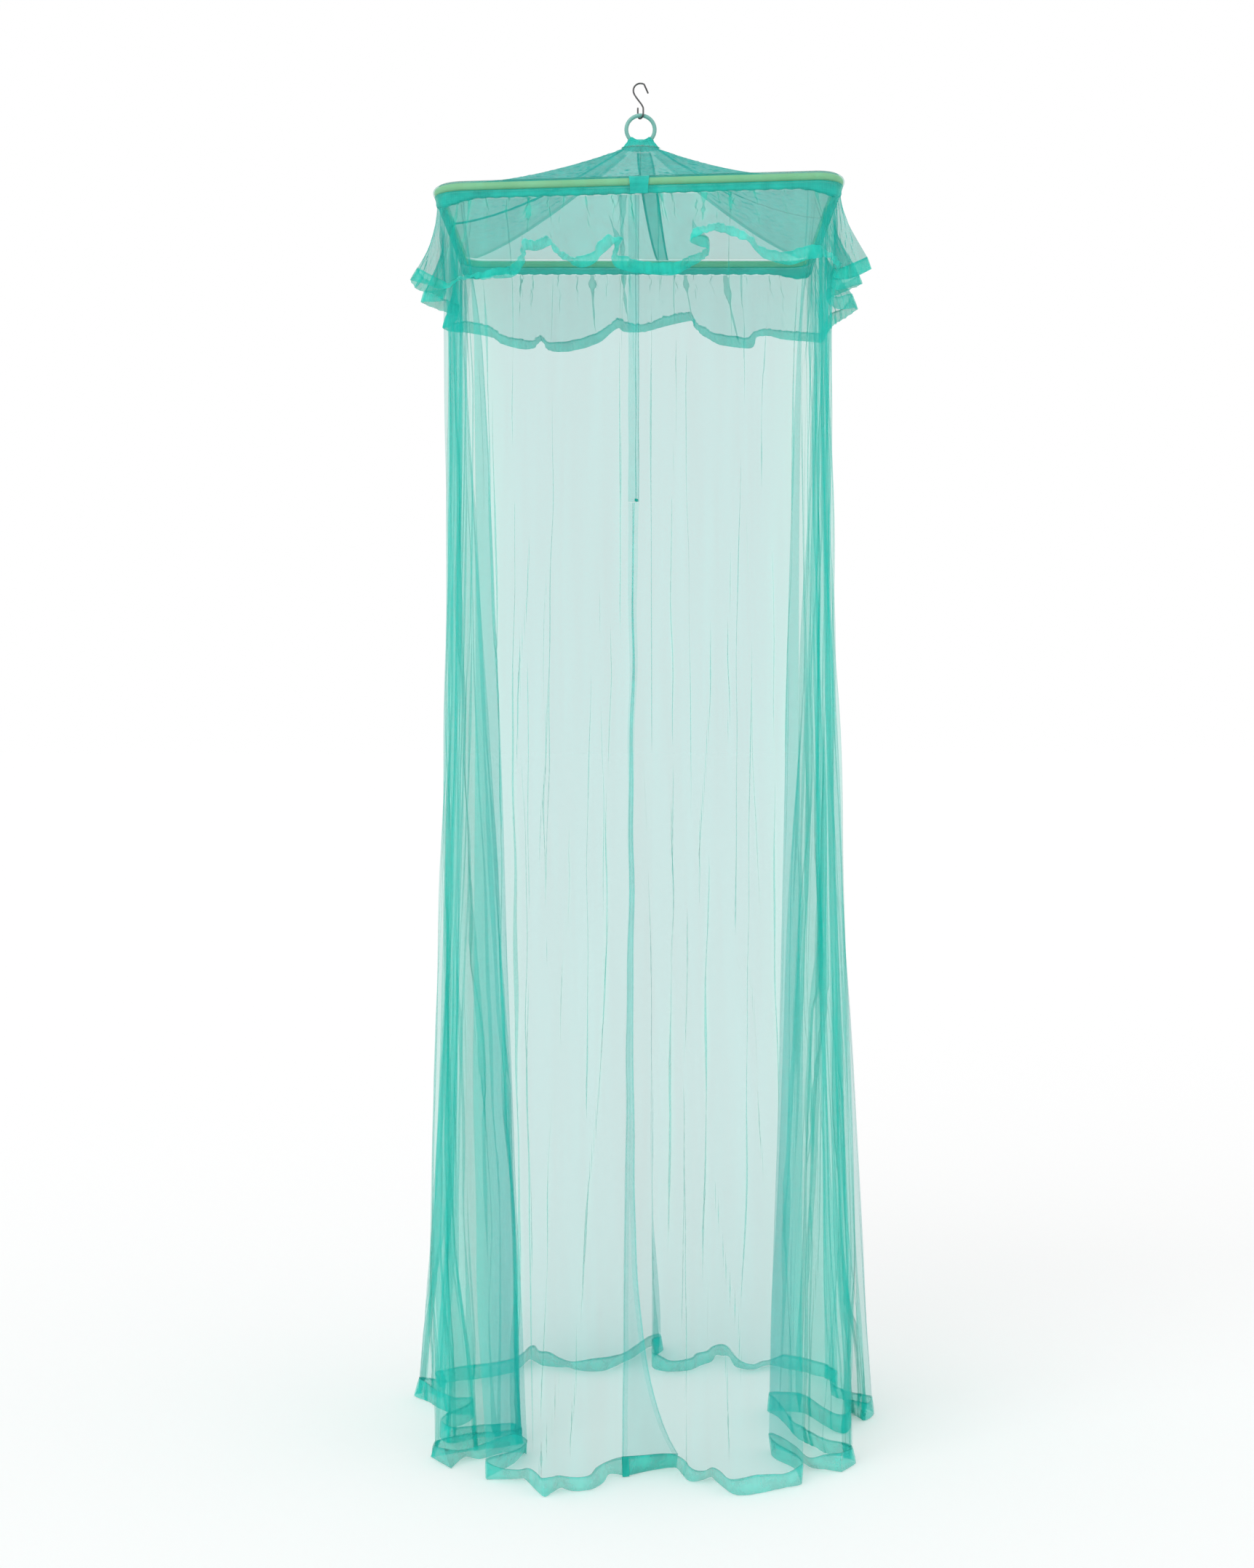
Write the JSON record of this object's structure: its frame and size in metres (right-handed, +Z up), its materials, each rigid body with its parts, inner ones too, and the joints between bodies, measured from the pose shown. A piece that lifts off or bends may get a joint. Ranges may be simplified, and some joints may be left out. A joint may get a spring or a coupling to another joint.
{
  "type": "hanging mosquito net",
  "caption": "Square hanging mosquito net on a plastic tube frame, with a shallow gathered roof, a frill, floor-length walls and an overlapping front door, hung by a ring on an S-hook.",
  "frame": {"origin": "inside top of the S-hook's upper mouth, where the net hangs", "axes": "+Z up, -Y the front with the door, +X to the right seen from the front"},
  "size_m": [0.7699, 0.822, 2.1961],
  "materials": {
    "dark_steel": "dark satin",
    "teal_plastic": "satin gloss",
    "lime_plastic": "satin, slightly translucent",
    "net_cloth": "fine sheer net",
    "net_hem": "dense doubled net",
    "net_trim": "folded and stitched net"
  },
  "bodies": {
    "hook": {"s_hook": "dark_steel"},
    "ring": {"hanging_ring": "teal_plastic"},
    "net": {"ring_cuff": "net_trim", "roof_front": "net_cloth", "roof_right": "net_cloth", "roof_rear": "net_cloth", "roof_left": "net_cloth", "roof_tape_near_right": "net_trim", "roof_tape_far_right": "net_trim", "roof_tape_far_left": "net_trim", "roof_tape_near_left": "net_trim", "rear_roof_strap": "net_trim", "frame_tube_front": "lime_plastic", "frame_tube_right": "lime_plastic", "frame_tube_rear": "lime_plastic", "frame_tube_left": "lime_plastic", "frame_elbow_near_right": "lime_plastic", "frame_elbow_far_right": "lime_plastic", "frame_elbow_far_left": "lime_plastic", "frame_elbow_near_left": "lime_plastic", "casing_front": "net_hem", "casing_right": "net_hem", "casing_rear": "net_hem", "casing_left": "net_hem", "door_top_tab": "net_trim", "frill_front": "net_cloth", "frill_hem_front": "net_hem", "frill_right": "net_cloth", "frill_hem_right": "net_hem", "frill_rear": "net_cloth", "frill_hem_rear": "net_hem", "frill_left": "net_cloth", "frill_hem_left": "net_hem", "wall_rear": "net_cloth", "floor_hem_rear": "net_hem", "wall_left": "net_cloth", "floor_hem_left": "net_hem", "wall_front_left": "net_cloth", "floor_hem_front_left": "net_hem", "wall_front_right": "net_cloth", "floor_hem_front_right": "net_hem", "wall_right": "net_cloth", "floor_hem_right": "net_hem", "door_top_seam": "net_trim", "bar_tack": "net_trim"},
    "left_edge": {"left_door_edge": "net_trim"},
    "right_edge": {"right_door_edge": "net_trim", "door_hem_tab": "net_trim"}
  },
  "joints": [
    {"name": "ring_swing", "type": "hinge", "parent": "hook", "child": "ring", "pos_m": [0, 0, -0.05135], "axis": [1, 0, 0], "range_deg": [-30, 30]},
    {"name": "net_swing", "type": "hinge", "parent": "ring", "child": "net", "pos_m": [0, 0, -0.0746], "axis": [0, 1, 0], "range_deg": [-20, 20]},
    {"name": "left_edge_swing", "type": "hinge", "parent": "net", "child": "left_edge", "pos_m": [-0.0122, -0.3, -0.7165], "axis": [0, 1, 0], "range_deg": [0, 7.8], "deforming": ["wall_front_left", "floor_hem_front_left"]},
    {"name": "right_edge_swing", "type": "hinge", "parent": "net", "child": "right_edge", "pos_m": [-0.0122, -0.3, -0.7165], "axis": [0, -1, 0], "range_deg": [0, 7.5], "deforming": ["wall_front_right", "floor_hem_front_right"]}
  ]
}
